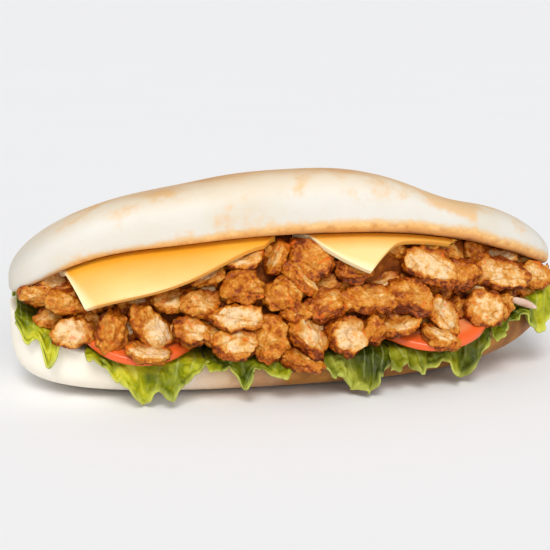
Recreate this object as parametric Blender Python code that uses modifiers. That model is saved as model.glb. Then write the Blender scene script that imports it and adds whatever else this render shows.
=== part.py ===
"""A long chicken sandwich: a split white loaf with its lid tilted open at the front,
grilled chicken pieces heaped in the opening, two cheese slices folded over the heap,
tomato slices and lettuce leaves under it.

Frame: metres, +X along the loaf, the open front faces -Y, +Z up.
The origin is the centre of the flat spot that the loaf rests on.
"""
import math

import bmesh
import bpy
from mathutils import Matrix, Vector, noise

MM = 0.001

# Loaf
HALF_LENGTH = 126 * MM
HALF_WIDTH = 46 * MM
LEFT_FULLNESS = 2.7          # plan outline exponent, blunt left end
RIGHT_FULLNESS = 2.1         # plan outline exponent, pointed right end
END_ROOM = 4 * MM            # least half width that places across the loaf are counted in
RIM_TILT = math.radians(112.5)   # where the fold of the rim ends and the cut face begins
LOAF_SEGMENTS = 40
LOAF_RINGS = 16
CRUST_WAVE = 0.7 * MM        # unevenness of a hand-shaped loaf

# Lid, tilted open towards the front
LID_LEFT_END = 41.5 * MM     # height of the lid's lower edge at its ends
LID_RIGHT_END = 43 * MM
LID_FRONT_TOP = 72 * MM      # height of that edge at the middle of the front
LID_BACK_TOP = 55 * MM
LID_LEFT_ARCH = 4.0          # arch exponents of the front edge
LID_SAG = 2.0 * MM           # shallow sag of the lid, left of the middle
LID_SAG_X = -58 * MM
LID_SAG_SPREAD = 28 * MM
LID_RIGHT_ARCH = 2.5
LID_BACK_ARCH = 2.5
LIP_TUCK = 4.5 * MM          # the rim turns in below the widest line
LIP_INSET = 0.04
LID_THICKNESS = 20.5 * MM    # crumb and crust above the widest line
LID_MIDDLE_EXTRA = 4.5 * MM
LID_MIDDLE_SPREAD = 48 * MM
LID_DIP = 5.3 * MM           # shallow dip in the crust, right of the middle
LID_DIP_X = 70 * MM
LID_DIP_SPREAD = 23 * MM
LID_ROUNDNESS = 3.2
LID_RIGHT_THINNING = 4.5 * MM    # thinner crust and crumb towards the pointed end

# Bottom half
BASE_FRONT_RIM = 17.5 * MM
BASE_BACK_RIM = 30 * MM
BASE_END_RIM = 38.4 * MM
BASE_LEFT_ARCH = 4.8
BASE_RIGHT_ARCH = 3.2
BASE_BACK_ARCH = 4
BASE_LIP = 1.6 * MM
BASE_FLAT = 1.0 * MM         # depth shaved off by the surface that it rests on
BASE_ROUNDNESS = 3.0         # of the underside at the middle
BASE_LEFT_EXTRA = 2.2        # squarer towards the left end
BASE_RIGHT_EXTRA = 0.0       # rounder towards the right end
BASE_RIGHT_LIFT = 5.0 * MM
BASE_RING_SPREAD = 4.0       # gathers the rings of facets towards the rim

# Gaps between layers
TOUCH = 0.3 * MM
CUT_CLEARANCE = 0.45 * MM    # how far the heap keeps off what it lies against

# Lettuce
LEAF_THICKNESS = 1.0 * MM
LEAF_LIFT = 1.5 * MM         # middle of the leaf above the cut face of the bread
LEAF_END_LIFT = 1.2 * MM     # more at the ends, where the bread rises steeply
LEAF_ACROSS = 9
LEAF_ALONG = 12
LEAF_HANG = 7.0 * MM         # how far the front edge stands out from the loaf
LEAF_RUFFLE = 2.0 * MM
LEAF_INSET = 1.0 * MM        # the fold over the rim starts this far inside it
LEAF_FRONT_END = 0.42        # share of the leaf that hangs at the front
LEAF_BACK_START = 0.70       # share from which it hangs at the back
LEAF_BACK_FALL = 7.0 * MM
LEAF_BACK_WAVE = 3.0 * MM
LEAF_RIPPLE = 0.35 * MM

# Each leaf: left x, right x, number of ruffles, front edge as (x, height) points, in mm
LEAVES = (
    ("lettuce_leaf_1", -123, -105.5, 1.5, ((-123, 33), (-119, 26), (-115, 27), (-111, 17), (-105, 29))),
    ("lettuce_leaf_2", -95, -46.5, 3.0,
     ((-95, 23), (-88, 16), (-80, 9), (-72, 1.5), (-67, 7), (-61, 4), (-55, 11), (-46, 20))),
    ("lettuce_leaf_3", -45.5, -6, 2.5,
     ((-45, 18), (-40, 14), (-36, 16), (-31, 7), (-25, 15), (-15, 10), (-6, 16))),
    ("lettuce_leaf_4", 5.5, 34.5, 1.5, ((6, 14), (10, 10), (18, 3), (24, 1.5), (30, 8), (35, 13))),
    ("lettuce_leaf_5", 35.5, 84, 3.5,
     ((36, 10), (43, 12), (48, 8), (55, 12), (61, 11), (67, 4), (71, 2.5), (76, 9), (84, 19))),
    ("lettuce_leaf_6", 86, 121, 2.0, ((86, 20), (91, 20), (96, 24), (101, 29), (109, 21), (115, 17), (121, 24))),
)

# Tomato: centre x, centre y, radius, in mm
TOMATO_THICKNESS = 5.5 * MM
TOMATO_LIFT = 3.0 * MM
TOMATO_DROOP = 0.25          # fall of the slice for each step past the rim
TOMATOES = (
    ("tomato_slice_1", -72, -24.5, 26.5),
    ("tomato_slice_2", 58, -24.5, 29),
    ("tomato_slice_3", -55, 25.5, 19.5),
    ("tomato_slice_4", 34, 26, 19.5),
)

# Cheese: the outer corner as (along, hanging length), the turn of its edges, both side
# lengths, how far its front edge and its side edge sag, and how far along its rim still
# shows as a narrow strip under the lid, in mm and degrees
CHEESE_THICKNESS = 2.5 * MM
CHEESE_GAP = 1.3 * MM
CHEESE_FOLD_INSET = 4.0 * MM
CHEESE_SLICES = (
    ("cheese_slice_left", -96, 23, 18, 86, 60, 9, 0, -20),
    ("cheese_slice_right", 24, 20.5, 48, 86, 40, -1, 4, 66),
)
STRIP_HANG = 3.0             # hanging length of that narrow strip, in mm
STRIP_BLEND = 6.0            # softness of the curve from the hanging corner into it, in mm
STRIP_FADE = 8.0             # length over which it goes back under the lid, in mm
STRIP_DEPTH = 12.0           # how much of the slice behind its edge is drawn forward, in mm
FLAP_FIRST_SLOPE = 30        # degrees below level at the fold
FLAP_LAST_SLOPE = 56         # degrees below level at the full hanging length
FLAP_LENGTH = 27 * MM

# Heap of chicken
HEAP_HALF_LENGTH = 117 * MM
HEAP_FRONT_SLOPE = 0.24      # how far the heap comes forward for each step down
HEAP_INSET = 5.0 * MM        # top of the heap behind the rim of the lid
CORE_BEHIND = 5.0 * MM       # the core lies this far behind the pieces that show
CORE_BLUNTNESS = 6
CORE_SQUARENESS = 0.6
CORE_BACK_INSET = 7 * MM
HEAP_GAP = 1.0 * MM          # between the heap and the cut face of the lid
PIECE_DEPTH = 16 * MM
PIECE_STANDOFF = 2 * MM
PIECE_SWELL = (0.24, 1.3)    # large unevenness: amount, waves
PIECE_DENT = (0.10, 2.9)     # small unevenness: amount, waves
PIECE_CUT_DEPTH = 0.5        # of a cut piece's flat side, as a share of its half size
HEAP_TRIANGLES = 6700

# Pieces at the front, left to right: x, z, length, height, slope in degrees, shape, step forward
FRONT_PIECES = (
    (-114, 46, 17, 12, 0, "lump", 0),
    (-102, 43, 18, 10, -10, "lump", 0),
    (-100, 32, 20, 13, 10, "cut", 0),
    (-84, 33, 20, 14, 80, "crust", 1),
    (-69, 35, 24, 13, -50, "cut", 1),
    (-71, 25, 20, 9, -15, "strip", 5),
    (-52, 33, 17, 12, -20, "cut", 1),
    (-61, 45, 15, 10, 10, "lump", 0),
    (-48, 43, 19, 13, 5, "lump", 0),
    (-34, 38, 25, 12, -4, "cut", 1),
    (-30, 50, 18, 16, 0, "round", 1),
    (-28, 61, 18, 9, 10, "cut", 0),
    (-43, 54, 18, 9, 25, "strip", -2),
    (-14, 61, 16, 10, 70, "strip", 0),
    (0, 60, 21, 18, -20, "slab", 0),
    (-5, 53, 23, 9, -45, "strip", 1),
    (-13, 47, 17, 16, 0, "round", 1),
    (6, 41, 18, 15, 20, "lump", 0),
    (-18, 28, 22, 16, 75, "crust", 1),
    (-7, 38, 15, 10, -10, "lump", 0),
    (-2, 28, 25, 13, -52, "cut", 1),
    (-5, 18, 20, 10, -15, "strip", 1),
    (-34, 27, 20, 13, 5, "cut", 1),
    (-43, 31, 10, 9, 0, "lump", 0),
    (19, 55, 18, 13, -10, "lump", 0),
    (25, 42, 27, 14, -4, "lump", 0),
    (44, 42, 24, 17, -20, "lump", 0),
    (55, 53, 28, 17, -18, "cut", 0),
    (71, 49, 18, 15, 20, "lump", 0),
    (91, 47, 29, 15, -8, "cut", 2),
    (112, 43, 19, 14, -10, "lump", 2),
    (14, 28, 19, 18, -20, "cut", 1),
    (27, 29, 14, 11, 70, "crust", 0),
    (80, 33, 21, 18, -15, "cut", 2),
    (93, 33, 14, 10, 70, "crust", 0),
    (60, 33, 21, 13, -52, "cut", 1),
    (40, 30, 18, 9, 10, "strip", 0),
    (57, 24, 19, 10, -20, "strip", 4),
)

# Pieces along the hidden back, placed by rule
BACK_PIECES = 14
BACK_REACH = 104 * MM
BACK_PIECE_SIZE = (21 * MM, 15 * MM, 13 * MM)
BACK_INSET = 5 * MM
BACK_STAGGER = 2 * MM
BACK_SLOPE = 35
BACK_FIRST_SEED = 60

# Onion
ONION_PLACE = (102 * MM, -33 * MM, 33.5 * MM)
ONION_LENGTH = 15 * MM
ONION_HEIGHT = 4.2 * MM
ONION_DEPTH = 2.2 * MM
ONION_SLOPE = 20
ONION_BEND = 0.25


def share(x):
    """How far along the half loaf x lies, 0 at the middle and 1 at the end."""
    return min(1.0, abs(x) / HALF_LENGTH)


def fullness(x):
    return LEFT_FULLNESS if x < 0 else RIGHT_FULLNESS


def half_width(x):
    """Half width of the loaf's plan outline at x."""
    n = fullness(x)
    return HALF_WIDTH * (1 - share(x) ** n) ** (1 / n)


def across(x, y):
    """Place across the loaf at x: 1 at the front rim, -1 at the back rim."""
    return max(-1.25, min(1.25, -y / max(half_width(x), END_ROOM)))


def lid_front_edge(x):
    """Height of the lid's lower edge along the open front."""
    end = LID_LEFT_END if x < 0 else LID_RIGHT_END
    arch = LID_LEFT_ARCH if x < 0 else LID_RIGHT_ARCH
    sag = LID_SAG * math.exp(-((x - LID_SAG_X) / LID_SAG_SPREAD) ** 2)
    return LID_FRONT_TOP + (end - LID_FRONT_TOP) * share(x) ** arch - sag


def lid_cut(x, y):
    """Height of the lid's cut plane."""
    end = LID_LEFT_END if x < 0 else LID_RIGHT_END
    back = LID_BACK_TOP + (end - LID_BACK_TOP) * share(x) ** LID_BACK_ARCH
    front = lid_front_edge(x)
    return back + (front - back) * (across(x, y) + 1) / 2


def base_cut(x, y):
    """Height of the bottom half's cut face, its dip to the front included."""
    arch = BASE_LEFT_ARCH if x < 0 else BASE_RIGHT_ARCH
    front = BASE_FRONT_RIM + (BASE_END_RIM - BASE_FRONT_RIM) * share(x) ** arch
    back = BASE_BACK_RIM + (BASE_END_RIM - BASE_BACK_RIM) * share(x) ** BASE_BACK_ARCH
    return back + (front - back) * (across(x, y) + 1) / 2


def plan_point(radius, turn):
    """Point of the plan at a share of the way out to the loaf's outline."""
    c = math.cos(turn)
    s = math.sin(turn)
    n = fullness(c)
    x = HALF_LENGTH * math.copysign(abs(c) ** (2 / n), c)
    y = HALF_WIDTH * math.copysign(abs(s) ** (2 / n), s)
    return radius * x, radius * y


def crust_wave(x, y, seed):
    """Small unevenness of the crust."""
    return CRUST_WAVE * noise.noise(Vector((x * 28, y * 34, seed)))


def rounded(radius, exponent):
    """Height of a rounded cross section, 1 at its middle and 0 at its rim."""
    return max(0.0, 1 - min(1.0, radius) ** exponent) ** (1 / exponent)


def lid_crown(x):
    """Height of the lid's middle above its widest line."""
    middle = LID_MIDDLE_EXTRA * math.exp(-(x / LID_MIDDLE_SPREAD) ** 2)
    dip = LID_DIP * math.exp(-((x - LID_DIP_X) / LID_DIP_SPREAD) ** 2)
    thinning = LID_RIGHT_THINNING * max(0.0, x / HALF_LENGTH) ** 3
    return LID_THICKNESS + middle - dip - thinning


def base_roundness(x):
    """Section exponent of the underside."""
    extra = BASE_LEFT_EXTRA if x < 0 else BASE_RIGHT_EXTRA
    return BASE_ROUNDNESS + extra * share(x) ** 4


def lid_point(x_turn, tilt):
    """Point of the lid for a turn about +Z and a tilt from the top pole."""
    if tilt <= math.pi / 2:
        radius = math.sin(tilt) ** (2 / LID_ROUNDNESS)
        x, y = plan_point(radius, x_turn)
        height = lid_crown(x) + crust_wave(x, y, 3.0)
        return x, y, lid_cut(x, y) + LIP_TUCK + height * rounded(radius, LID_ROUNDNESS)
    if tilt <= RIM_TILT + 0.001:
        fold = (tilt - math.pi / 2) / (RIM_TILT - math.pi / 2)
        x, y = plan_point(1 - LIP_INSET * fold ** 2, x_turn)
        return x, y, lid_cut(x, y) + LIP_TUCK * (1 - math.sin(fold * math.pi / 2))
    inner = (tilt - RIM_TILT) / (math.pi - RIM_TILT)
    x, y = plan_point((1 - LIP_INSET) * (1 - inner), x_turn)
    return x, y, lid_cut(x, y) + TOUCH * min(1.0, inner * 3)


def base_point(x_turn, tilt):
    """Point of the bottom half for a turn about +Z and a tilt from its lowest pole."""
    if tilt <= math.pi / 2:
        radius = math.sin(tilt) ** (2 / BASE_RING_SPREAD)
        x, y = plan_point(radius, x_turn)
        lift = BASE_RIGHT_LIFT * max(0.0, x / HALF_LENGTH) ** 4
        rim = base_cut(x, y) - BASE_LIP
        rise = (rim + BASE_FLAT - lift) * (1 - rounded(radius, base_roundness(x)))
        return x, y, max(0.0, lift + rise - BASE_FLAT)
    if tilt <= RIM_TILT + 0.001:
        fold = (tilt - math.pi / 2) / (RIM_TILT - math.pi / 2)
        x, y = plan_point(1 - LIP_INSET * fold ** 2, x_turn)
        return x, y, base_cut(x, y) - BASE_LIP * (1 - math.sin(fold * math.pi / 2))
    inner = (tilt - RIM_TILT) / (math.pi - RIM_TILT)
    x, y = plan_point((1 - LIP_INSET) * (1 - inner), x_turn)
    return x, y, base_cut(x, y)


def finish_object(name, mesh_data, material, collection):
    mesh = bpy.data.meshes.new(name)
    mesh_data.to_mesh(mesh)
    mesh_data.free()
    mesh.shade_smooth()
    mesh.set_sharp_from_angle(angle=math.radians(40))
    mesh.materials.append(material)
    result = bpy.data.objects.new(name, mesh)
    collection.objects.link(result)
    return result


def make_material(name, colour, roughness):
    material = bpy.data.materials.new(name)
    material.use_nodes = True
    shader = material.node_tree.nodes["Principled BSDF"]
    shader.inputs["Base Color"].default_value = (*colour, 1.0)
    shader.inputs["Roughness"].default_value = roughness
    shader.inputs["Metallic"].default_value = 0.0
    material.diffuse_color = (*colour, 1.0)
    return material


def make_bread(name, point, upside_down, material, collection):
    """A bread half: a sphere whose rings are laid out on crust, rim and cut face."""
    bm = bmesh.new()
    bmesh.ops.create_uvsphere(bm, u_segments=LOAF_SEGMENTS, v_segments=LOAF_RINGS, radius=1.0)
    for vert in bm.verts:
        height = -vert.co.z if upside_down else vert.co.z
        tilt = math.acos(max(-1.0, min(1.0, height)))
        turn = math.atan2(vert.co.y, vert.co.x)
        vert.co = Vector(point(turn, tilt))
    bmesh.ops.triangulate(bm, faces=bm.faces)
    bmesh.ops.recalc_face_normals(bm, faces=bm.faces)
    return finish_object(name, bm, material, collection)


def between(points, x):
    """Height of an edge drawn by hand-chosen points, eased from one to the next."""
    if x <= points[0][0]:
        return points[0][1]
    for (x0, z0), (x1, z1) in zip(points, points[1:]):
        if x <= x1:
            step = (x - x0) / (x1 - x0)
            step = step * step * (3 - 2 * step)
            return z0 + (z1 - z0) * step
    return points[-1][1]


def leaf_base(x, y):
    """Height of the middle of a leaf that lies on the bread."""
    return base_cut(x, y) + LEAF_LIFT + LEAF_END_LIFT * share(x) ** 8


def leaf_point(x, along, ruffles, edge):
    """Point of a leaf that runs from its front edge (0) over the bread to its back edge (1)."""
    inner = half_width(x) - LEAF_INSET
    phase = 2 * math.pi * ruffles * (x - edge[0][0] * MM) / ((edge[-1][0] - edge[0][0]) * MM)
    if along < LEAF_FRONT_END:
        hang = 1 - along / LEAF_FRONT_END
        top = leaf_base(x, -inner)
        tip = between(edge, x / MM) * MM
        out = LEAF_INSET + (LEAF_HANG - LEAF_RUFFLE) * hang ** 0.6
        out += LEAF_RUFFLE * hang * (1 + math.cos(phase))
        return x, -inner - out * min(1.0, hang * 6), top + (tip - top) * hang ** 1.25
    if along > LEAF_BACK_START:
        hang = (along - LEAF_BACK_START) / (1 - LEAF_BACK_START)
        top = leaf_base(x, inner)
        tip = top - LEAF_BACK_FALL - LEAF_BACK_WAVE * math.sin(phase * 1.7 + x * 90)
        out = LEAF_INSET + (LEAF_HANG - 1.5 * MM) * hang ** 0.7 + LEAF_RUFFLE * hang * (1 + math.sin(phase))
        return x, inner + out * min(1.0, hang * 6), top + (tip - top) * hang ** 1.3
    middle = (along - LEAF_FRONT_END) / (LEAF_BACK_START - LEAF_FRONT_END)
    y = -inner + 2 * inner * middle
    ripple = LEAF_RIPPLE * math.sin(phase) * math.sin(math.pi * middle)
    return x, y, leaf_base(x, y) + ripple


def solidified(name, sheet, thickness, offset, material, collection):
    """Gives an open sheet its thickness and returns it as a closed object."""
    result = finish_object(name, sheet, material, collection)
    wall = result.modifiers.new("thickness", "SOLIDIFY")
    wall.thickness = thickness
    wall.offset = offset
    wall.use_even_offset = True
    wall.use_rim = True
    return result


def make_leaf(name, left, right, ruffles, edge, material, collection):
    bm = bmesh.new()
    bmesh.ops.create_grid(bm, x_segments=LEAF_ACROSS, y_segments=LEAF_ALONG, size=0.5)
    for vert in bm.verts:
        x = (left + (right - left) * (vert.co.x + 0.5)) * MM
        vert.co = Vector(leaf_point(x, vert.co.y + 0.5, ruffles, edge))
    bmesh.ops.triangulate(bm, faces=bm.faces)
    bmesh.ops.recalc_face_normals(bm, faces=bm.faces)
    return solidified(name, bm, LEAF_THICKNESS, 0.0, material, collection)


def make_tomato(name, centre_x, centre_y, radius, material, collection):
    """A slice that follows the cut face of the bread under it."""
    bm = bmesh.new()
    bmesh.ops.create_uvsphere(bm, u_segments=18, v_segments=6, radius=1.0)
    for vert in bm.verts:
        ring = math.hypot(vert.co.x, vert.co.y)
        spread = ring ** 0.5 / max(ring, 1e-6)
        x = (centre_x + radius * vert.co.x * spread) * MM
        y = (centre_y + radius * vert.co.y * spread) * MM
        upright = math.copysign(abs(vert.co.z) ** 0.4, vert.co.z)
        past_rim = max(0.0, abs(y) - half_width(x))
        low = base_cut(x, y) + TOMATO_LIFT - TOMATO_DROOP * past_rim
        z = low + TOMATO_THICKNESS * (upright + 1) / 2
        vert.co = Vector((x, y, z))
    bmesh.ops.triangulate(bm, faces=bm.faces)
    bmesh.ops.recalc_face_normals(bm, faces=bm.faces)
    return finish_object(name, bm, material, collection)


def flap_offset(length):
    """How far out and down the flap has come after a length along its curve."""
    steps = 12
    out = 0.0
    down = 0.0
    for step in range(steps):
        part = (step + 0.5) / steps * length / FLAP_LENGTH
        slope = math.radians(FLAP_FIRST_SLOPE + (FLAP_LAST_SLOPE - FLAP_FIRST_SLOPE) * part)
        out += math.cos(slope) * length / steps
        down += math.sin(slope) * length / steps
    return out, down


def cheese_point(along, hanging):
    """Top face of a cheese slice: under the lid behind the fold, hanging in front of it."""
    fold_y = -(half_width(along) * (1 - LIP_INSET) - CHEESE_FOLD_INSET)
    fold_z = lid_cut(along, fold_y) - CHEESE_GAP
    if hanging <= 0:
        y = fold_y - hanging
        return along, y, lid_cut(along, y) - CHEESE_GAP
    out, down = flap_offset(hanging)
    return along, fold_y - out, fold_z - down


def strip_pull(along, hanging, back, strip_end):
    """How far the front edge is drawn forward to show as a narrow strip under the lid."""
    short = STRIP_HANG - hanging
    missing = (short + math.hypot(short, STRIP_BLEND)) / 2
    if along > strip_end:
        missing *= max(0.0, 1 - (along - strip_end) / STRIP_FADE)
    return missing * math.exp(-(back / STRIP_DEPTH) ** 2)


def make_cheese(name, corner_along, corner_hang, turn, side, depth, front_sag, side_sag, strip_end,
                material, collection):
    bm = bmesh.new()
    bmesh.ops.create_grid(bm, x_segments=12, y_segments=8, size=0.5)
    angle = math.radians(turn)
    for vert in bm.verts:
        right = (vert.co.x + 0.5) * side
        back = (vert.co.y + 0.5) * depth
        along = corner_along + right * math.cos(angle) - back * math.sin(angle)
        hanging = corner_hang - right * math.sin(angle) - back * math.cos(angle)
        hanging += front_sag * math.sin(math.pi * right / side) * (0.5 - vert.co.y)
        hanging += side_sag * math.sin(math.pi * back / depth) * (0.5 - vert.co.x)
        if along < strip_end + STRIP_FADE:
            hanging += strip_pull(along, hanging, back, strip_end)
        vert.co = Vector(cheese_point(along * MM, hanging * MM))
    bmesh.ops.triangulate(bm, faces=bm.faces)
    bmesh.ops.recalc_face_normals(bm, faces=bm.faces)
    if sum(face.normal.z for face in bm.faces) < 0:
        bmesh.ops.reverse_faces(bm, faces=bm.faces)
    return solidified(name, bm, CHEESE_THICKNESS, -1.0, material, collection)


def heap_front(x, z):
    """Depth of the heap's sloping front at a place along and up."""
    return -(half_width(x) - HEAP_INSET) - (lid_front_edge(x) - z) * HEAP_FRONT_SLOPE


def heap_floor(x, y):
    return base_cut(x, y) + TOMATO_LIFT


def heap_ceiling(x, y):
    return lid_cut(x, y) - HEAP_GAP


def make_core():
    """The inside of the heap: a ball stretched between the bread halves."""
    bm = bmesh.new()
    bmesh.ops.create_uvsphere(bm, u_segments=16, v_segments=20, radius=1.0)
    bmesh.ops.rotate(bm, verts=bm.verts, cent=(0, 0, 0), matrix=Matrix.Rotation(math.radians(90), 3, "Y"))
    for vert in bm.verts:
        x = HEAP_HALF_LENGTH * vert.co.x
        ring = math.hypot(vert.co.y, vert.co.z)
        full = (1 - min(1.0, abs(vert.co.x)) ** CORE_BLUNTNESS) ** (1 / CORE_BLUNTNESS)
        side = math.copysign(abs(vert.co.y / max(ring, 1e-6)) ** CORE_SQUARENESS, vert.co.y) * full
        height = math.copysign(abs(vert.co.z / max(ring, 1e-6)) ** CORE_SQUARENESS, vert.co.z) * full
        upward = (height + 1) / 2
        back = half_width(x) - CORE_BACK_INSET
        floor_mid = heap_floor(x, 0)
        ceiling_mid = heap_ceiling(x, 0)
        z_guess = floor_mid + (ceiling_mid - floor_mid) * upward
        front = heap_front(x, z_guess) + CORE_BEHIND
        y = front + (back - front) * (side + 1) / 2
        low = heap_floor(x, y)
        high = max(heap_ceiling(x, y), low + 1 * MM)
        vert.co = Vector((x, y, low + (high - low) * upward))
    bmesh.ops.triangulate(bm, faces=bm.faces)
    bmesh.ops.recalc_face_normals(bm, faces=bm.faces)
    return bm


def make_piece(centre, size, slope, shape, seed):
    """One chicken piece: an uneven lump, with a flat side where it was cut."""
    bm = bmesh.new()
    bmesh.ops.create_icosphere(bm, subdivisions=2, radius=1.0)
    flat_side = Vector((0.15 * math.sin(seed), -0.85, 0.45)).normalized()
    shift = Vector((seed * 7.31, seed * 3.17, seed * 1.73))
    for vert in bm.verts:
        bump = PIECE_SWELL[0] * noise.noise(vert.co * PIECE_SWELL[1] + shift)
        bump += PIECE_DENT[0] * noise.noise(vert.co * PIECE_DENT[1] + shift)
        vert.co *= 1 + bump
        reach = vert.co.dot(flat_side)
        if shape in ("cut", "slab") and reach > PIECE_CUT_DEPTH:
            vert.co -= flat_side * (reach - PIECE_CUT_DEPTH)
        vert.co.x *= size[0] / 2
        vert.co.y *= size[1] / 2
        vert.co.z *= size[2] / 2
    turn = Matrix.Rotation(-math.radians(slope), 3, "Y")
    bmesh.ops.rotate(bm, verts=bm.verts, cent=(0, 0, 0), matrix=turn)
    bmesh.ops.translate(bm, verts=bm.verts, vec=centre)
    return bm


def front_pieces():
    """Size and place of each piece of the open front."""
    for index, (x, z, length, height, slope, shape, forward) in enumerate(FRONT_PIECES):
        x *= MM
        z *= MM
        y = heap_front(x, z) + PIECE_STANDOFF - forward * MM
        size = (length * MM, PIECE_DEPTH, height * MM)
        yield (x, y, z), size, slope, shape, index + 1


def back_pieces():
    """Pieces along the back and at both ends, by rule."""
    for index in range(BACK_PIECES):
        x = BACK_REACH * (2 * index / (BACK_PIECES - 1) - 1)
        y = half_width(x) - BACK_INSET - BACK_STAGGER * (index % 2)
        low = heap_floor(x, y)
        high = heap_ceiling(x, y)
        z = low + (high - low) * (0.35 + 0.3 * (index % 2))
        slope = BACK_SLOPE * math.sin(index * 2.4)
        shape = ("lump", "cut", "crust")[index % 3]
        yield (x, y, z), BACK_PIECE_SIZE, slope, shape, BACK_FIRST_SEED + index


def apply_modifiers(target):
    """Replaces an object's mesh by its evaluated mesh."""
    bpy.context.view_layer.update()
    graph = bpy.context.evaluated_depsgraph_get()
    mesh = bpy.data.meshes.new_from_object(target.evaluated_get(graph))
    old = target.data
    target.modifiers.clear()
    target.data = mesh
    bpy.data.meshes.remove(old)


def combine(target, others, operation):
    """One Boolean of a whole collection, applied, with the collection's objects removed."""
    cut = target.modifiers.new(operation.lower(), "BOOLEAN")
    cut.operand_type = "COLLECTION"
    cut.collection = others
    cut.operation = operation
    cut.solver = "EXACT"
    apply_modifiers(target)
    for other in list(others.objects):
        mesh = other.data
        bpy.data.objects.remove(other)
        bpy.data.meshes.remove(mesh)


def keep_largest(target):
    """Drops loose scraps and sealed hollows."""
    bm = bmesh.new()
    bm.from_mesh(target.data)
    seen = set()
    best = []
    best_volume = 0.0
    for start in bm.verts:
        if start in seen:
            continue
        group = []
        stack = [start]
        seen.add(start)
        while stack:
            vert = stack.pop()
            group.append(vert)
            for edge in vert.link_edges:
                other = edge.other_vert(vert)
                if other not in seen:
                    seen.add(other)
                    stack.append(other)
        faces = {face for vert in group for face in vert.link_faces}
        volume = 0.0
        for face in faces:
            corners = [loop.vert.co for loop in face.loops]
            for second, third in zip(corners[1:], corners[2:]):
                volume += corners[0].dot(second.cross(third)) / 6
        if volume > best_volume:
            best_volume = volume
            best = group
    keep = set(best)
    loose = [vert for vert in bm.verts if vert not in keep]
    bmesh.ops.delete(bm, geom=loose, context="VERTS")
    bmesh.ops.triangulate(bm, faces=bm.faces)
    bm.to_mesh(target.data)
    bm.free()


def thin_out(target, triangles):
    """Merges the smallest facets until about the given number is left."""
    count = len(target.data.polygons)
    if count <= triangles:
        return
    fewer = target.modifiers.new("fewer_facets", "DECIMATE")
    fewer.ratio = triangles / count
    fewer.use_collapse_triangulate = True
    apply_modifiers(target)


def swollen_copy(source, amount, material, collection):
    """A cutter: the object's shape, grown outwards by an even amount."""
    bpy.context.view_layer.update()
    graph = bpy.context.evaluated_depsgraph_get()
    mesh = bpy.data.meshes.new_from_object(source.evaluated_get(graph))
    bm = bmesh.new()
    bm.from_mesh(mesh)
    bpy.data.meshes.remove(mesh)
    bm.normal_update()
    moved = [vert.co + vert.normal * amount for vert in bm.verts]
    for vert, place in zip(bm.verts, moved):
        vert.co = place
    cutter = finish_object("cutter_" + source.name, bm, material, collection)
    cutter.hide_render = True
    cutter.display_type = "WIRE"
    return cutter


def make_onion(material, collection):
    bm = bmesh.new()
    bmesh.ops.create_uvsphere(bm, u_segments=8, v_segments=6, radius=1.0)
    bmesh.ops.rotate(bm, verts=bm.verts, cent=(0, 0, 0), matrix=Matrix.Rotation(math.radians(90), 3, "Y"))
    for vert in bm.verts:
        bend = ONION_BEND * vert.co.x ** 2
        vert.co.z = (vert.co.z - bend) * ONION_HEIGHT / 2
        vert.co.x *= ONION_LENGTH / 2
        vert.co.y *= ONION_DEPTH / 2
    bmesh.ops.rotate(bm, verts=bm.verts, cent=(0, 0, 0),
                     matrix=Matrix.Rotation(math.radians(ONION_SLOPE), 3, "Y"))
    bmesh.ops.translate(bm, verts=bm.verts, vec=ONION_PLACE)
    bmesh.ops.triangulate(bm, faces=bm.faces)
    bmesh.ops.recalc_face_normals(bm, faces=bm.faces)
    return finish_object("onion_sliver", bm, material, collection)


def make_heap(neighbours, material, collection, cutters):
    heap = finish_object("chicken_filling", make_core(), material, collection)
    for number, piece in enumerate([*front_pieces(), *back_pieces()]):
        finish_object(f"piece_{number}", make_piece(*piece), material, cutters)
    combine(heap, cutters, "UNION")
    keep_largest(heap)
    for neighbour in neighbours:
        swollen_copy(neighbour, CUT_CLEARANCE, material, cutters)
    combine(heap, cutters, "DIFFERENCE")
    keep_largest(heap)
    thin_out(heap, HEAP_TRIANGLES)
    return heap


def main():
    for existing in list(bpy.data.objects):
        bpy.data.objects.remove(existing)
    sandwich = bpy.data.collections.new("chicken_sandwich")
    cutters = bpy.data.collections.new("cutters")
    bpy.context.scene.collection.children.link(sandwich)
    bpy.context.scene.collection.children.link(cutters)

    crust = make_material("bread_crust", (0.91, 0.80, 0.62), 0.75)
    base_crust = make_material("bread_base_crust", (0.93, 0.83, 0.68), 0.75)
    lettuce = make_material("lettuce", (0.24, 0.27, 0.03), 0.4)
    tomato = make_material("tomato", (0.70, 0.14, 0.03), 0.3)
    cheese = make_material("cheese", (1.0, 0.66, 0.17), 0.35)
    chicken = make_material("grilled_chicken", (0.55, 0.24, 0.05), 0.5)
    onion = make_material("onion", (0.85, 0.74, 0.60), 0.35)

    neighbours = [
        make_bread("bread_top", lid_point, False, crust, sandwich),
        make_bread("bread_bottom", base_point, True, base_crust, sandwich),
    ]
    for name, *shape in LEAVES:
        neighbours.append(make_leaf(name, *shape, lettuce, sandwich))
    for name, *place in TOMATOES:
        neighbours.append(make_tomato(name, *place, tomato, sandwich))
    for name, *sizes in CHEESE_SLICES:
        neighbours.append(make_cheese(name, *sizes, cheese, sandwich))
    neighbours.append(make_onion(onion, sandwich))
    make_heap(neighbours, chicken, sandwich, cutters)


main()
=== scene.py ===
import math

import bpy
import numpy as np
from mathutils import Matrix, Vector, noise
from mathutils.bvhtree import BVHTree


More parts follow.
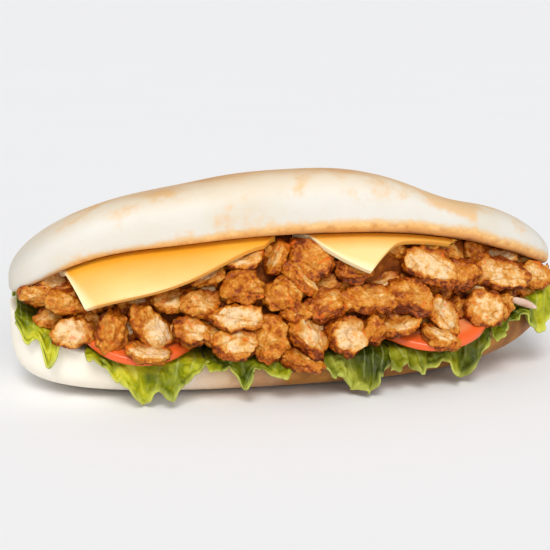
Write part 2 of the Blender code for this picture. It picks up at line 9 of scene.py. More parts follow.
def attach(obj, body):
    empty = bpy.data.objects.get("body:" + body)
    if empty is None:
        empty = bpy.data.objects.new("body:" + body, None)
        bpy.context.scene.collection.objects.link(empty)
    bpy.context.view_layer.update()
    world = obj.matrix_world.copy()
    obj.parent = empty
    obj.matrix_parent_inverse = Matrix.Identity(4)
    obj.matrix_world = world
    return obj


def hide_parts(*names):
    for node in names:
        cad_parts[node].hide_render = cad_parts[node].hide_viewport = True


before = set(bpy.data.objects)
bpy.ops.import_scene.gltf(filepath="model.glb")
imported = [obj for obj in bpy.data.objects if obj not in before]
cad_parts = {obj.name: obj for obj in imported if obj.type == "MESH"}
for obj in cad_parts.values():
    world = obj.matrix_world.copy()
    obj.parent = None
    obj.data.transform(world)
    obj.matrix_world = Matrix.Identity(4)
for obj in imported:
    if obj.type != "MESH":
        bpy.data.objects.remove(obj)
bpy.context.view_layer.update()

MM = 0.001

# Loaf, as in the solids
HALF_LENGTH = 126 * MM
HALF_WIDTH = 46 * MM
LEFT_FULLNESS = 2.7
RIGHT_FULLNESS = 2.1
CRUST_WAVE = 0.7 * MM
LID_LEFT_END = 41.5 * MM
LID_RIGHT_END = 43 * MM
LID_FRONT_TOP = 72 * MM
LID_BACK_TOP = 55 * MM
LID_LEFT_ARCH = 4.0
LID_SAG = 2.0 * MM
LID_SAG_X = -58 * MM
LID_SAG_SPREAD = 28 * MM
LID_RIGHT_ARCH = 2.5
LID_BACK_ARCH = 2.5
LIP_TUCK = 4.5 * MM
LIP_INSET = 0.04
LID_THICKNESS = 20.5 * MM
LID_MIDDLE_EXTRA = 4.5 * MM
LID_MIDDLE_SPREAD = 48 * MM
LID_DIP = 5.3 * MM
LID_DIP_X = 70 * MM
LID_DIP_SPREAD = 23 * MM
LID_ROUNDNESS = 3.2
LID_RIGHT_THINNING = 4.5 * MM
RIPE_X = 62 * MM
RIPE_SPREAD = 22 * MM
RIPE_HEIGHT = 0.65
RIPE_REACH = 0.3
TOP_FROM = 0.74
TOP_RISE = 0.24
TOP_RIPENESS = 0.12
HIGH_FROM = 0.45
HIGH_RISE = 0.4
HIGH_SHARE = 0.6
TOAST_NARROW = 3.2 * MM
TOAST_EXTRA = 4.0 * MM
TOAST_LEAST = 0.55
CRUST_MARKS = ("top", "ripe", "high", "lip", "cut_face")
BASE_FRONT_RIM = 17.5 * MM
BASE_BACK_RIM = 30 * MM
BASE_END_RIM = 38.4 * MM
BASE_LEFT_ARCH = 4.8
BASE_RIGHT_ARCH = 3.2
BASE_BACK_ARCH = 4
BASE_LIP = 1.6 * MM
BASE_FLAT = 1.0 * MM
BASE_ROUNDNESS = 3.0
BASE_LEFT_EXTRA = 2.2
BASE_RIGHT_EXTRA = 0.0
BASE_RIGHT_LIFT = 5.0 * MM
BASE_RING_SPREAD = 4.0
RIM_TILT = math.radians(112.5)

# Lettuce
LEAF_THICKNESS = 0.8 * MM
LEAF_LIFT = 1.5 * MM
LEAF_END_LIFT = 1.2 * MM
LEAF_HANG = 7.0 * MM
LEAF_RUFFLE = 2.0 * MM
LEAVES = (
    ("lettuce_leaf_1", -123, -105.5, 1.5, ((-123, 33), (-119, 26), (-115, 27), (-111, 17), (-105, 29))),
    ("lettuce_leaf_2", -95, -46.5, 3.0,
     ((-95, 23), (-88, 16), (-80, 9), (-72, 1.5), (-67, 7), (-61, 4), (-55, 11), (-46, 20))),
    ("lettuce_leaf_3", -45.5, -6, 2.5,
     ((-45, 18), (-40, 14), (-36, 16), (-31, 7), (-25, 15), (-15, 10), (-6, 16))),
    ("lettuce_leaf_4", 5.5, 34.5, 1.5, ((6, 14), (10, 10), (18, 3), (24, 1.5), (30, 8), (35, 13))),
    ("lettuce_leaf_5", 35.5, 84, 3.5,
     ((36, 10), (43, 12), (48, 8), (55, 12), (61, 11), (67, 4), (71, 2.5), (76, 9), (84, 19))),
    ("lettuce_leaf_6", 86, 121, 2.0,
     ((86, 20), (91, 20), (96, 24), (101, 29), (109, 21), (115, 17), (121, 24))),
)
# Painted shade of each leaf, from 0 (none) to 1.
LEAF_SHADE = (0.05, 0.0, 0.3, 0.8, 0.6, 0.0)
LEAF_FRONT_END = 0.42
LEAF_BACK_START = 0.70
LEAF_BACK_DROP = 7
LEAF_GRID = (90, 150)
RIB_SHARE = 0.45
RIB_BACK_SHARE = 0.15

# Tomato
TOMATO_THICKNESS = 5.5 * MM
TOMATO_LIFT = 3.0 * MM
TOMATO_DROOP = 0.25
TOMATOES = (
    ("tomato_slice_1", -72, -24.5, 26.5),
    ("tomato_slice_2", 58, -24.5, 29),
    ("tomato_slice_3", -55, 25.5, 19.5),
    ("tomato_slice_4", 34, 26, 19.5),
)

# Cheese
CHEESE_THICKNESS = 2.5 * MM
CHEESE_GAP = 0.3 * MM
CHEESE_FOLD_INSET = 4.0 * MM
CHEESE_SLICES = (
    ("cheese_slice_left", -96, 23, 18, 86, 60, 9, 0, -20),
    ("cheese_slice_right", 24, 20.5, 48, 86, 40, -1, 4, 66),
)
# How far each slice's painted shade from the lid reaches down the hanging part.
CHEESE_FADES = (24, 9)
CHEESE_FRONT = 20 * MM
STRIP_HANG = 3.0
STRIP_BLEND = 6.0
STRIP_FADE = 8.0
STRIP_DEPTH = 12.0
FLAP_FIRST_SLOPE = 30
FLAP_LAST_SLOPE = 56
FLAP_LENGTH = 27 * MM

# Heap of chicken
HEAP_HALF_LENGTH = 117 * MM
HEAP_FRONT_SLOPE = 0.24
HEAP_INSET = 5.0 * MM
CORE_BEHIND = 6.5 * MM
CORE_BLUNTNESS = 6
CORE_BACK_GAP = 7 * MM
CORE_HEADROOM = 2.5 * MM
CORE_BUMPS = 1.6 * MM
PIECE_DEPTH = 16 * MM
PIECE_GAP = 0.2 * MM
# Painted shade on the side of a piece turned away from the front: where it starts, from the middle of the
# piece towards the front, and over what depth it grows to full.
BACK_SHADE_START = 3.5 * MM
BACK_SHADE_SPAN = 5 * MM
# Pieces left of this are made paler by this share: painted light where the cheese shades them.
PALE_END = -40 * MM
PALE_END_SHARE = 0.13
FRONT_PIECES = (
    (-114, 46, 17, 12, 0, "crust", 0),
    (-102, 43, 20, 11, -10, "crust", 0),
    (-100, 32, 20, 13, 10, "cut", 0),
    (-84, 33, 20, 14, 80, "crust", 1),
    (-69, 35, 24, 13, -50, "cut", 1),
    (-71, 25, 20, 9, -15, "strip", 5),
    (-52, 33, 17, 12, -20, "cut", 1),
    (-61, 45, 15, 10, 10, "lump", 0),
    (-48, 43, 19, 13, 5, "lump", 0),
    (-34, 38, 25, 12, -4, "cut", 1),
    (-30, 50, 18, 16, 0, "round", 1),
    (-28, 61, 18, 9, 10, "cut", 0),
    (-43, 54, 18, 9, 25, "strip", -2),
    (-14, 61, 16, 10, 70, "strip", 0),
    (0, 60, 21, 18, -20, "slab", 0),
    (-5, 53, 23, 9, -45, "strip", 1),
    (-13, 47, 17, 16, 0, "round", 1),
    (6, 41, 18, 15, 20, "lump", 0),
    (-18, 28, 22, 16, 75, "crust", 1),
    (-7, 38, 15, 10, -10, "lump", 0),
    (-2, 28, 25, 13, -52, "cut", 1),
    (-5, 18, 20, 10, -15, "strip", 1),
    (-34, 27, 20, 13, 5, "cut", 1),
    (-43, 31, 10, 9, 0, "lump", 0),
    (19, 55, 18, 13, -10, "lump", 0),
    (25, 42, 27, 14, -4, "lump", 0),
    (44, 42, 24, 17, -20, "lump", 0),
    (55, 53, 28, 17, -18, "cut", 0),
    (71, 49, 18, 15, 20, "lump", 0),
    (91, 47, 29, 15, -8, "cut", 2),
    (112, 43, 19, 14, -10, "lump", 2),
    (14, 28, 19, 18, -20, "cut", 1),
    (27, 29, 14, 11, 70, "crust", 0),
    (80, 33, 21, 18, -15, "cut", 2),
    (93, 33, 14, 10, 70, "crust", 0),
    (60, 33, 21, 13, -52, "cut", 1),
    (40, 30, 18, 9, 10, "strip", 0),
    (57, 24, 19, 10, -20, "strip", 4),
)
BACK_PIECES = 17
BACK_REACH = 104 * MM
BACK_PIECE_SIZE = (22 * MM, 15 * MM, 14 * MM)
INNER_ROWS = 3
INNER_COLUMNS = 17
INNER_LEFT = -108
INNER_STEP = 13.5
INNER_BEHIND = 7.0 * MM
PIECES_IN_A_MESH = 9
INNER_IN_A_MESH = 30

# Where a kind of piece is cut: direction, how deep from 1 (not at all), how pale the cut side is,
# and how brown the rest is.
CUTS = {
    "cut": ((0.10, -0.88, 0.42), 0.42, 1.0, 0.70),
    "slab": ((-0.10, -0.95, 0.25), 0.50, 0.42, 0.64),
    "lump": ((0.20, -0.75, 0.60), 0.55, 0.62, 0.64),
    "strip": ((0.00, -0.50, 0.86), 0.45, 0.85, 0.64),
    "round": ((0.05, -0.85, 0.50), 0.78, 0.30, 0.50),
    "crust": ((0.00, -0.70, 0.70), 0.80, 0.25, 0.56),
}

# Relief of a piece: wave lengths, and heights in millimetres
SWELL_LENGTH = 9 * MM
LUMP_LENGTH = 4.2 * MM
GRIT_LENGTH = 1.9 * MM
FIBRE_LENGTH = 2.2 * MM
SWELL_HEIGHT = 0.34
LUMP_HEIGHT = 0.24
GRIT_HEIGHT = 0.13
FIBRE_HEIGHT = 0.12
CREASE_DEPTH = 0.32
CREASE_WIDTH = 0.20

# Onion
ONION_PLACE = (102 * MM, -33 * MM, 33.5 * MM)
ONION_LENGTH = 15 * MM
ONION_HEIGHT = 3.6 * MM
ONION_DEPTH = 2.2 * MM
ONION_SLOPE = 20

# Light: azimuth, height and spread of each sun in degrees, and its strength
SUNS = (
    ("key", -16, 48, 26, 1.85),
    ("fill", 18, 22, 50, 0.95),
    ("side", -82, 20, 60, 0.5),
)
SUN_TINT = (1.04, 1.01, 0.98)
SKY_TINT = (0.93, 0.98, 1.03, 1)
SKY_STRENGTH = 0.41
FLOOR_SIZE = 80

# Camera, from the photograph's angle
CAMERA_AZIMUTH = -12
CAMERA_ELEVATION = 13
CAMERA_DISTANCE = 597 * MM
CAMERA_TARGET = (-6 * MM, 0, 44 * MM)
CAMERA_LENS = 85
CAMERA_SENSOR = 36


def clamped(value):
    return min(1.0, max(0.0, value))


def srgb(red, green, blue):
    """A colour given as it looks on a screen, 0 to 255, in the linear values that shaders use."""
    linear = []
    for value in (red, green, blue):
        value /= 255
        linear.append(value / 12.92 if value <= 0.04045 else ((value + 0.055) / 1.055) ** 2.4)
    return (*linear, 1.0)


# Shapes of the loaf

def share(x):
    return min(1.0, abs(x) / HALF_LENGTH)


def fullness(x):
    return LEFT_FULLNESS if x < 0 else RIGHT_FULLNESS


def half_width(x):
    n = fullness(x)
    return HALF_WIDTH * (1 - share(x) ** n) ** (1 / n)


def across(x, y):
    return max(-1.25, min(1.25, -y / max(half_width(x), 4 * MM)))


def lid_front_edge(x):
    end = LID_LEFT_END if x < 0 else LID_RIGHT_END
    arch = LID_LEFT_ARCH if x < 0 else LID_RIGHT_ARCH
    sag = LID_SAG * math.exp(-((x - LID_SAG_X) / LID_SAG_SPREAD) ** 2)
    return LID_FRONT_TOP + (end - LID_FRONT_TOP) * share(x) ** arch - sag


def lid_cut(x, y):
    end = LID_LEFT_END if x < 0 else LID_RIGHT_END
    back = LID_BACK_TOP + (end - LID_BACK_TOP) * share(x) ** LID_BACK_ARCH
    front = lid_front_edge(x)
    return back + (front - back) * (across(x, y) + 1) / 2


def base_cut(x, y):
    arch = BASE_LEFT_ARCH if x < 0 else BASE_RIGHT_ARCH
    front = BASE_FRONT_RIM + (BASE_END_RIM - BASE_FRONT_RIM) * share(x) ** arch
    back = BASE_BACK_RIM + (BASE_END_RIM - BASE_BACK_RIM) * share(x) ** BASE_BACK_ARCH
    return back + (front - back) * (across(x, y) + 1) / 2


def plan_point(radius, turn):
    c = math.cos(turn)
    s = math.sin(turn)
    n = fullness(c)
    x = HALF_LENGTH * math.copysign(abs(c) ** (2 / n), c)
    y = HALF_WIDTH * math.copysign(abs(s) ** (2 / n), s)
    return radius * x, radius * y


def crust_wave(x, y, seed):
    return CRUST_WAVE * noise.noise(Vector((x * 28, y * 34, seed)))


def rounded(radius, exponent):
    return max(0.0, 1 - min(1.0, radius) ** exponent) ** (1 / exponent)


def lid_crown(x):
    middle = LID_MIDDLE_EXTRA * math.exp(-(x / LID_MIDDLE_SPREAD) ** 2)
    dip = LID_DIP * math.exp(-((x - LID_DIP_X) / LID_DIP_SPREAD) ** 2)
    thinning = LID_RIGHT_THINNING * max(0.0, x / HALF_LENGTH) ** 3
    return LID_THICKNESS + middle - dip - thinning


def base_roundness(x):
    extra = BASE_LEFT_EXTRA if x < 0 else BASE_RIGHT_EXTRA
    return BASE_ROUNDNESS + extra * share(x) ** 4


def lid_point(x_turn, tilt):
    if tilt <= math.pi / 2:
        radius = math.sin(tilt) ** (2 / LID_ROUNDNESS)
        x, y = plan_point(radius, x_turn)
        height = lid_crown(x) + crust_wave(x, y, 3.0)
        return x, y, lid_cut(x, y) + LIP_TUCK + height * rounded(radius, LID_ROUNDNESS)
    if tilt <= RIM_TILT + 0.001:
        fold = (tilt - math.pi / 2) / (RIM_TILT - math.pi / 2)
        x, y = plan_point(1 - LIP_INSET * fold ** 2, x_turn)
        return x, y, lid_cut(x, y) + LIP_TUCK * (1 - math.sin(fold * math.pi / 2))
    inner = (tilt - RIM_TILT) / (math.pi - RIM_TILT)
    x, y = plan_point((1 - LIP_INSET) * (1 - inner), x_turn)
    return x, y, lid_cut(x, y) + 0.3 * MM * min(1.0, inner * 3)


def base_point(x_turn, tilt):
    if tilt <= math.pi / 2:
        radius = math.sin(tilt) ** (2 / BASE_RING_SPREAD)
        x, y = plan_point(radius, x_turn)
        lift = BASE_RIGHT_LIFT * max(0.0, x / HALF_LENGTH) ** 4
        rim = base_cut(x, y) - BASE_LIP
        rise = (rim + BASE_FLAT - lift) * (1 - rounded(radius, base_roundness(x)))
        return x, y, max(0.0, lift + rise - BASE_FLAT)
    if tilt <= RIM_TILT + 0.001:
        fold = (tilt - math.pi / 2) / (RIM_TILT - math.pi / 2)
        x, y = plan_point(1 - LIP_INSET * fold ** 2, x_turn)
        return x, y, base_cut(x, y) - BASE_LIP * (1 - math.sin(fold * math.pi / 2))
    inner = (tilt - RIM_TILT) / (math.pi - RIM_TILT)
    x, y = plan_point((1 - LIP_INSET) * (1 - inner), x_turn)
    return x, y, base_cut(x, y)


def toast_width(x):
    """How far the lip's toasting and painted shade reach up the crust: narrow at the blunt end, wide at the
    other.
    """
    return TOAST_NARROW + TOAST_EXTRA * clamped((x + 0.07) / 0.09)


def crust_marks(x, y, z, tilt, cut):
    """Where the crust is near its top, ripe, high, on its lip (toasting, with painted shade at the lowest
    edge) and cut, each from 0 to 1.
    """
    fullest = (z - cut - LIP_TUCK) / lid_crown(x)
    ripe = math.exp(-((x - RIPE_X) / RIPE_SPREAD) ** 2 - ((fullest - RIPE_HEIGHT) / RIPE_REACH) ** 2)
    top = clamped(TOP_RIPENESS * ripe + (fullest - TOP_FROM) / TOP_RISE)
    high = HIGH_SHARE * clamped((fullest - HIGH_FROM) / HIGH_RISE)
    if tilt > RIM_TILT:
        lip = 1.0
    else:
        toast_and_shade = TOAST_LEAST + (1 - TOAST_LEAST) * clamped((x + 0.06) / 0.07)
        lip = toast_and_shade * max(0.0, 1 - abs(z - cut) / toast_width(x))
    cut_face = 1.0 if tilt > RIM_TILT + math.radians(2) else 0.0
    return top, ripe, high, lip, cut_face


# Modelling helpers

def start_piece(name):
    """Names the piece that the last primitive made."""
    piece = bpy.context.object
    piece.name = name
    piece.data.name = name
    return piece


def deselect_all():
    bpy.ops.object.select_all(action="DESELECT")


def corners_of(piece):
    places = np.empty(len(piece.data.vertices) * 3)
    piece.data.vertices.foreach_get("co", places)
    return places.reshape(-1, 3)


def set_corners(piece, places):
    piece.data.vertices.foreach_set("co", np.asarray(places, dtype=np.float32).ravel())
    piece.data.update()


def mark(piece, name, values):
    """Stores one number at each corner of the piece, for its material."""
    layer = piece.data.attributes.new(name, "FLOAT", "POINT")
    layer.data.foreach_set("value", np.asarray(values, dtype=np.float32))


def mark_vector(piece, name, values):
    """Stores a place or direction at each corner of the piece, for its material."""
    layer = piece.data.attributes.new(name, "FLOAT_VECTOR", "POINT")
    layer.data.foreach_set("vector", np.asarray(values, dtype=np.float32).ravel())


def face_outwards():
    """Turns all faces of the active piece outwards."""
    bpy.ops.object.mode_set(mode="EDIT")
    bpy.ops.mesh.select_all(action="SELECT")
    bpy.ops.mesh.normals_make_consistent(inside=False)
    bpy.ops.object.mode_set(mode="OBJECT")


def modify(piece, kind, **settings):
    """Adds a modifier with these settings and applies it."""
    modifier = piece.modifiers.new(kind.lower(), kind)
    for name, value in settings.items():
        setattr(modifier, name, value)
    bpy.context.view_layer.objects.active = piece
    bpy.ops.object.modifier_apply(modifier=modifier.name)


def finish_piece(piece, material, slot_name, *nodes):
    """Shades the piece smooth, gives it its material and lets it stand for its nodes."""
    deselect_all()
    piece.select_set(True)
    bpy.context.view_layer.objects.active = piece
    bpy.ops.object.shade_smooth()
    piece.data.materials.clear()
    piece.data.materials.append(material)
    piece.select_set(False)
    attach(piece, "root")
    if nodes:
        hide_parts(*nodes)


# Material helpers

class Recipe:
    """A material with its nodes, built step by step."""

    def __init__(self, name, roughness=0.5, **values):
        self.material = bpy.data.materials.new(name)
        self.material.use_nodes = True
        self.nodes = self.material.node_tree.nodes
        self.links = self.material.node_tree.links
        self.shader = self.nodes["Principled BSDF"]
        self.shader.inputs["Roughness"].default_value = roughness
        for socket, value in values.items():
            self.shader.inputs[socket.replace("_", " ")].default_value = value

    def join(self, output, target):
        self.links.new(output, target)

    def place(self):
        """Object coordinates."""
        return self.nodes.new("ShaderNodeTexCoord").outputs["Object"]

    def attribute(self, name, vector=False):
        node = self.nodes.new("ShaderNodeAttribute")
        node.attribute_name = name
        return node.outputs["Vector" if vector else "Fac"]

    def stretched(self, vector, scale):
        node = self.nodes.new("ShaderNodeMapping")
        node.inputs["Scale"].default_value = scale
        self.join(vector, node.inputs["Vector"])
        return node.outputs["Vector"]

    def noise(self, vector, scale, detail=4, roughness=0.55, distortion=0.0):
        node = self.nodes.new("ShaderNodeTexNoise")
        node.inputs["Scale"].default_value = scale
        node.inputs["Detail"].default_value = detail
        node.inputs["Roughness"].default_value = roughness
        node.inputs["Distortion"].default_value = distortion
        self.join(vector, node.inputs["Vector"])
        return node.outputs["Fac"]

    def cells(self, vector, scale):
        node = self.nodes.new("ShaderNodeTexVoronoi")
        node.inputs["Scale"].default_value = scale
        self.join(vector, node.inputs["Vector"])
        return node.outputs["Distance"]

    def ramp(self, value, *stops):
        """Colours along a value: stops are (place, colour)."""
        node = self.nodes.new("ShaderNodeValToRGB")
        line = node.color_ramp
        while len(line.elements) < len(stops):
            line.elements.new(0.5)
        for element, (place, colour) in zip(line.elements, stops):
            element.position = place
            element.color = colour
        self.join(value, node.inputs["Fac"])
        return node.outputs["Color"]

    def span(self, value, low, high, to_low=0.0, to_high=1.0):
        node = self.nodes.new("ShaderNodeMapRange")
        node.interpolation_type = "SMOOTHSTEP"
        node.inputs["From Min"].default_value = low
        node.inputs["From Max"].default_value = high
        node.inputs["To Min"].default_value = to_low
        node.inputs["To Max"].default_value = to_high
        self.join(value, node.inputs["Value"])
        return node.outputs["Result"]

    def math(self, operation, first, second):
        node = self.nodes.new("ShaderNodeMath")
        node.operation = operation
        for number, value in enumerate((first, second)):
            if isinstance(value, (int, float)):
                node.inputs[number].default_value = value
            else:
                self.join(value, node.inputs[number])
        return node.outputs["Value"]

    def plus(self, value, other, amount):
        """The value with so much of another one added."""
        return self.math("ADD", value, self.math("MULTIPLY", other, amount))

    def unsettled(self, value, wave, amount):
        """The value, moved up and down by a noise."""
        return self.plus(value, self.math("SUBTRACT", wave, 0.5), amount)

    def mix(self, share_of_second, first, second):
        node = self.nodes.new("ShaderNodeMix")
        node.data_type = "RGBA"
        slots = (node.inputs["Factor"], node.inputs[6], node.inputs[7])
        for target, value in zip(slots, (share_of_second, first, second)):
            if isinstance(value, (int, float, tuple)):
                target.default_value = value
            else:
                self.join(value, target)
        return node.outputs[2]

    def part_of(self, value, axis):
        node = self.nodes.new("ShaderNodeSeparateXYZ")
        self.join(value, node.inputs["Vector"])
        return node.outputs[axis]

    def colour(self, output):
        self.join(output, self.shader.inputs["Base Color"])

    def shine(self, output):
        self.join(output, self.shader.inputs["Roughness"])

    def relief(self, output, distance, strength=1.0, after=None):
        node = self.nodes.new("ShaderNodeBump")
        node.inputs["Strength"].default_value = strength
        node.inputs["Distance"].default_value = distance
        self.join(output, node.inputs["Height"])
        if after is not None:
            self.join(after, node.inputs["Normal"])
        self.join(node.outputs["Normal"], self.shader.inputs["Normal"])
        return node.outputs["Normal"]


# Materials

def finish_bread(made, place, crust, crumb_tones, grain):
    """Gives a bread material its crumb on the cut face and the fine relief of its crust."""
    crumb = made.ramp(made.noise(place, 300, 4), (0.35, crumb_tones[0]), (0.65, crumb_tones[1]))
    made.colour(made.mix(made.attribute("cut_face"), crust, crumb))
    scale, height, strength = grain
    fine = made.relief(made.noise(place, scale, 6, 0.6), height, strength)
    made.relief(made.noise(place, 1500, 3), 0.0002, 0.25, after=fine)


def lid_crust_material():
    """Pale floury crust, golden along the top, with a lip brown from toasting and darkest at its lowest
    edge, partly as painted shade, and a golden cut face.
    """
    made = Recipe("lid_crust", 0.6)
    place = made.place()
    flour = made.noise(place, 22, 5)
    pale = made.ramp(
        flour,
        (0.30, srgb(219, 215, 206)),
        (0.50, srgb(214, 209, 198)),
        (0.70, srgb(210, 200, 181)),
    )
    high = made.attribute("high")
    pale = made.mix(high, pale, srgb(232, 206, 166))
    blotches = made.noise(place, 48, 4, 0.6)
    ripe = made.plus(made.plus(blotches, made.attribute("ripe"), 0.24), high, 0.12)
    pale = made.mix(made.span(ripe, 0.57, 0.76, 0.0, 0.8), pale, srgb(224, 180, 122))
    baked = made.unsettled(made.unsettled(made.attribute("top"), flour, 1.3), blotches, 0.9)
    gold = made.ramp(made.noise(place, 34, 5, 0.6), (0.32, srgb(228, 188, 132)), (0.66, srgb(209, 152, 88)))
    crust = made.mix(made.span(baked, 0.10, 1.15, 0.0, 0.9), pale, gold)
    grain = made.noise(place, 230, 5, 0.62)
    lip_tone = made.ramp(
        grain,
        (0.30, srgb(196, 124, 54)),
        (0.50, srgb(226, 168, 92)),
        (0.68, srgb(238, 196, 130)),
    )
    toast_and_shade = made.unsettled(made.unsettled(made.attribute("lip"), grain, 0.45), blotches, 0.6)
    colour = made.mix(made.span(toast_and_shade, 0.02, 0.34, 0.0, 0.8), crust, srgb(224, 184, 124))
    colour = made.mix(made.span(toast_and_shade, 0.22, 0.58), colour, lip_tone)
    colour = made.mix(made.span(toast_and_shade, 0.52, 0.86, 0.0, 0.8), colour, srgb(204, 132, 62))
    # Darkest brown along the very bottom of the lip: partly toasting, partly painted shade of the gap over
    # the cheese.
    colour = made.mix(made.span(toast_and_shade, 0.84, 1.0, 0.0, 0.7), colour, srgb(120, 62, 18))
    finish_bread(made, place, colour, (srgb(205, 120, 40), srgb(242, 178, 90)), (240, 0.0006, 0.4))
    return made.material


def base_crust_material():
    """Pale at the blunt end, tan from there on and brown at the front of the pointed half."""
    made = Recipe("base_crust", 0.62)
    place = made.place()
    flour = made.noise(place, 24, 5)
    pale = made.ramp(flour, (0.3, srgb(249, 245, 236)), (0.7, srgb(247, 236, 216)))
    tan = made.ramp(made.noise(place, 60, 5), (0.35, srgb(212, 164, 120)), (0.65, srgb(234, 210, 178)))
    brown = made.ramp(made.noise(place, 90, 5), (0.35, srgb(132, 78, 14)), (0.65, srgb(184, 122, 40)))
    along = made.unsettled(made.part_of(place, "X"), flour, 0.09)
    back = made.unsettled(made.part_of(place, "Y"), flour, 0.09)
    in_front = made.span(back, 0.012, -0.016)
    colour = made.mix(made.span(along, -0.078, -0.040), pale, tan)
    colour = made.mix(made.math("MULTIPLY", made.span(along, -0.042, -0.012), in_front), colour, brown)
    low = made.span(made.part_of(place, "Z"), 0.006, 0.002, 0.0, 0.3)
    colour = made.mix(low, colour, srgb(226, 204, 170))
    finish_bread(made, place, colour, (srgb(236, 208, 160), srgb(252, 236, 204)), (260, 0.0005, 0.35))
    return made.material


def chicken_material():
    """Seasoned, brown outside and paler cut sides, one running softly into the other, with painted shade on
    the undersides, in creases and on the sides turned away from the front.
    """
    made = Recipe("grilled_chicken", 0.42, Specular_IOR_Level=0.2, Coat_Weight=0.04, Coat_Roughness=0.25,
                  Subsurface_Weight=0.10, Subsurface_Scale=0.002)
    local = made.attribute("local", vector=True)
    mottle = made.noise(local, 300, 5, 0.62)
    patches = made.noise(local, 95, 3, 0.55)
    freckles = made.noise(local, 820, 3, 0.6)
    # The browning attribute also carries painted shade on undersides, in creases and on the sides away from
    # the front, and painted light on the pieces at the left end.
    browning_and_shading = made.unsettled(made.attribute("browning_and_shading"), freckles, 0.9)
    browning_and_shading = made.unsettled(browning_and_shading, mottle, 1.1)
    browning_and_shading = made.unsettled(browning_and_shading, patches, 0.7)
    colour = made.ramp(
        browning_and_shading,
        (0.00, srgb(230, 198, 152)),
        (0.16, srgb(222, 176, 110)),
        (0.34, srgb(210, 148, 64)),
        (0.52, srgb(198, 122, 26)),
        (0.70, srgb(178, 94, 10)),
        (0.86, srgb(138, 58, 4)),
        (1.00, srgb(84, 30, 2)),
    )
    grain = made.noise(made.stretched(local, (1.0, 3.2, 3.2)), 230, 4, 0.6)
    colour = made.mix(made.span(grain, 0.54, 0.70, 0.0, 0.4), colour, srgb(190, 122, 66))
    # Painted shade: dark brown in pits and creases and on the sides turned away from the front.
    colour = made.mix(made.attribute("painted_gap_shade"), colour, srgb(140, 60, 6))
    specks = made.math("MULTIPLY", made.span(made.cells(local, 760), 0.26, 0.16),
                       made.span(made.noise(local, 170, 2), 0.50, 0.60))
    colour = made.mix(made.math("MULTIPLY", specks, 0.55), colour, srgb(96, 44, 8))
    spice = made.math("MULTIPLY", made.span(made.noise(local, 240, 3, 0.5), 0.60, 0.70), 0.6)
    colour = made.mix(spice, colour, srgb(222, 104, 14))
    made.colour(colour)
    made.shine(made.span(mottle, 0.3, 0.7, 0.32, 0.58))
    coarse = made.relief(made.noise(local, 640, 4, 0.6), 0.0007, 0.7)
    made.relief(grain, 0.0003, 0.4, after=coarse)
    return made.material


def core_material():
    """Shaded, brown meat between the pieces: its dark tones are painted shade."""
    made = Recipe("chicken_core", 0.6, Specular_IOR_Level=0.1)
    place = made.place()
    tone = made.noise(place, 150, 5)
    made.colour(made.ramp(
        tone,
        (0.35, srgb(96, 40, 6)),
        (0.60, srgb(150, 78, 18)),
        (0.75, srgb(190, 114, 36)),
    ))
    made.relief(made.noise(place, 300, 5), 0.001, 0.7)
    return made.material


def lettuce_material():
    """Yellow-green, with darker leaves mixed in by an attribute as painted shade, and paler edges and ribs.
    """
    made = Recipe("lettuce", 0.45, Specular_IOR_Level=0.2, Subsurface_Weight=0.12, Subsurface_Scale=0.001)
    place = made.place()
    patches = made.noise(place, 55, 5, 0.6)
    leaf = made.ramp(
        patches,
        (0.36, srgb(82, 96, 6)),
        (0.46, srgb(140, 146, 12)),
        (0.56, srgb(186, 184, 30)),
        (0.68, srgb(220, 214, 92)),
    )
    # Painted shade: a darker leaf colour, mixed in by the attribute.
    leaf_shade = made.ramp(patches, (0.36, srgb(30, 40, 3)), (0.60, srgb(76, 86, 8)), (0.72, srgb(138, 144, 34)))
    leaf = made.mix(made.attribute("leaf_shade"), leaf, leaf_shade)
    at_edge = made.span(made.attribute("edge"), 0.80, 1.0, 0.0, 0.55)
    colour = made.mix(at_edge, leaf, srgb(204, 210, 104))
    made.colour(made.mix(made.attribute("rib"), colour, srgb(212, 220, 140)))
    blister = made.relief(made.noise(place, 330, 3), 0.0008, 0.6)
    made.relief(made.noise(place, 900, 2), 0.0002, 0.4, after=blister)
    return made.material


def cheese_material():
    """Pale yellow, deeper towards the lid as painted shade and along the front rim as painted shade of its
    edge, palest at the side rim as a painted highlight of its lit edge.
    """
    made = Recipe("cheese", 0.34, Subsurface_Weight=0.25, Subsurface_Scale=0.003)
    place = made.place()
    tone = made.noise(place, 40, 3)
    # Painted shade: deeper orange towards the lid.
    painted_lid_shade = made.attribute("painted_lid_shade")
    light = made.ramp(tone, (0.3, srgb(236, 208, 136)), (0.7, srgb(238, 215, 152)))
    deep = made.ramp(tone, (0.3, srgb(232, 157, 32)), (0.7, srgb(236, 173, 52)))
    body = made.mix(painted_lid_shade, light, deep)
    # Painted shade: deeper orange along the front edge.
    body = made.mix(made.attribute("front_rim_shade"), body, srgb(238, 164, 60))
    # Painted highlight: palest along the lit side edge.
    made.colour(made.mix(made.attribute("side_rim_highlight"), body, srgb(250, 238, 196)))
    made.relief(made.noise(place, 120, 3), 0.0006, 0.25)
    return made.material


def tomato_material():
    """Moist flesh inside a red skin."""
    made = Recipe("tomato", 0.34, Coat_Weight=0.12, Coat_Roughness=0.2, Subsurface_Weight=0.25,
                  Subsurface_Scale=0.002)
    place = made.place()
    flesh = made.ramp(made.noise(place, 160, 4), (0.3, srgb(230, 112, 50)), (0.7, srgb(240, 156, 100)))
    in_skin = made.span(made.attribute("skin"), 0.75, 0.95)
    made.colour(made.mix(in_skin, flesh, srgb(228, 96, 32)))
    made.relief(made.noise(place, 500, 3), 0.0003, 0.4)
    return made.material


